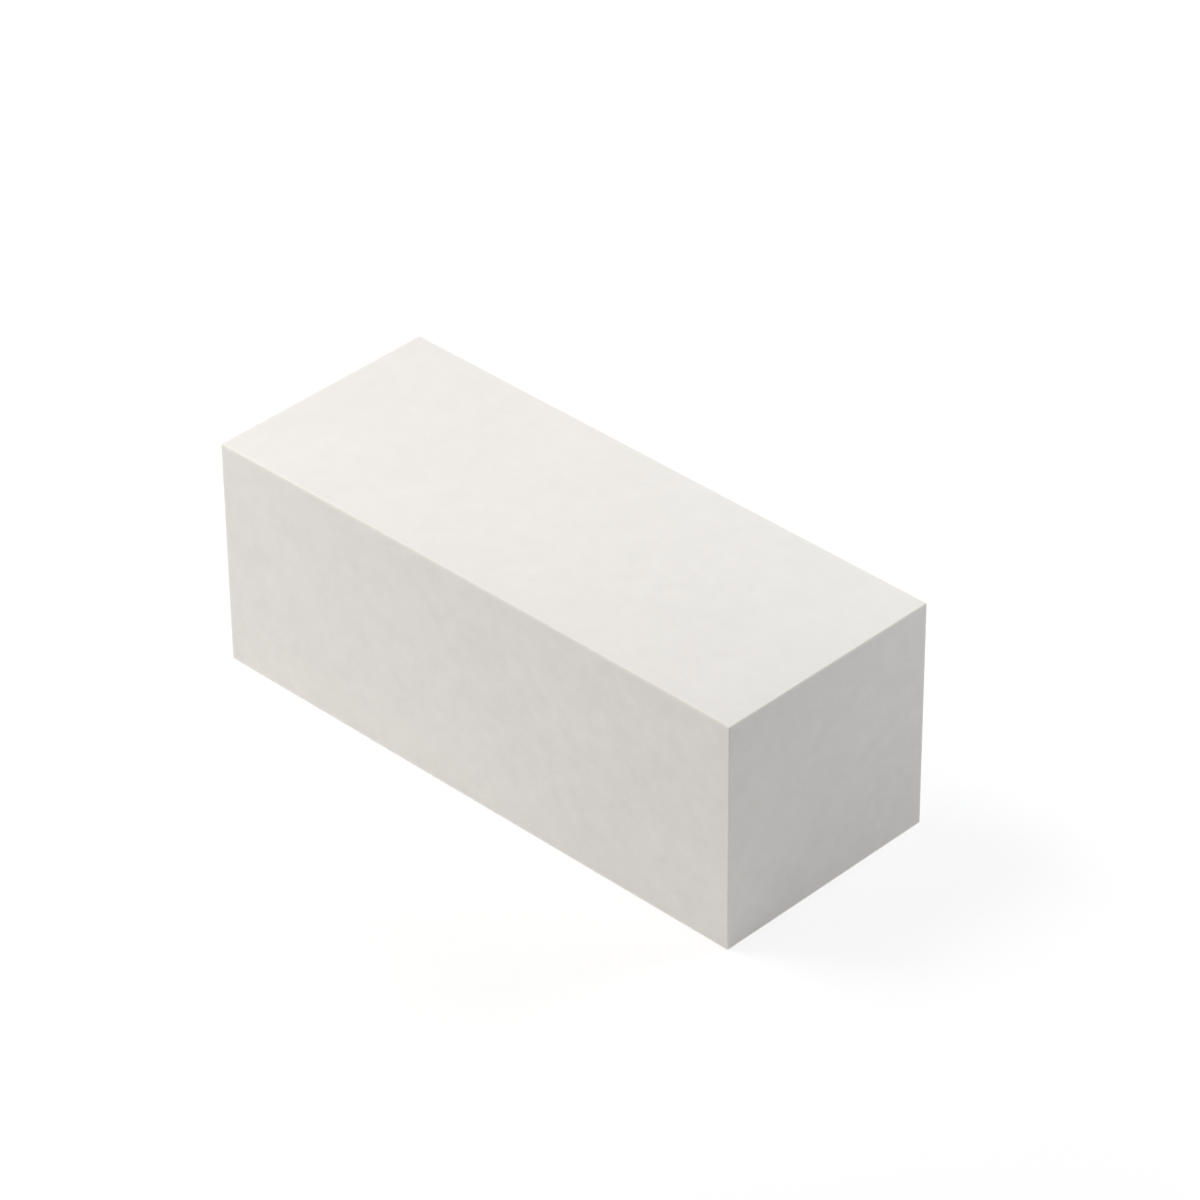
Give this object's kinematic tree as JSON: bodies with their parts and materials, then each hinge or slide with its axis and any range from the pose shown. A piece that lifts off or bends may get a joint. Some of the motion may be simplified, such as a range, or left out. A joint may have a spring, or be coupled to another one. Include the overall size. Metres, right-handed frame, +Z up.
{
  "type": "foam block",
  "caption": "Plain rectangular block of fine-celled off-white foam with square-cut faces and crisp edges, for padding, sanding or propping.",
  "frame": {"origin": "centre of the bottom face", "axes": "+X along the length, +Y across the width, +Z up from the face that it rests on"},
  "size_m": [0.1, 0.04, 0.038],
  "materials": {
    "foam": "matte, fine-celled, warm off-white cut foam"
  },
  "bodies": {
    "root": {"foam_block": "foam"}
  },
  "joints": []
}
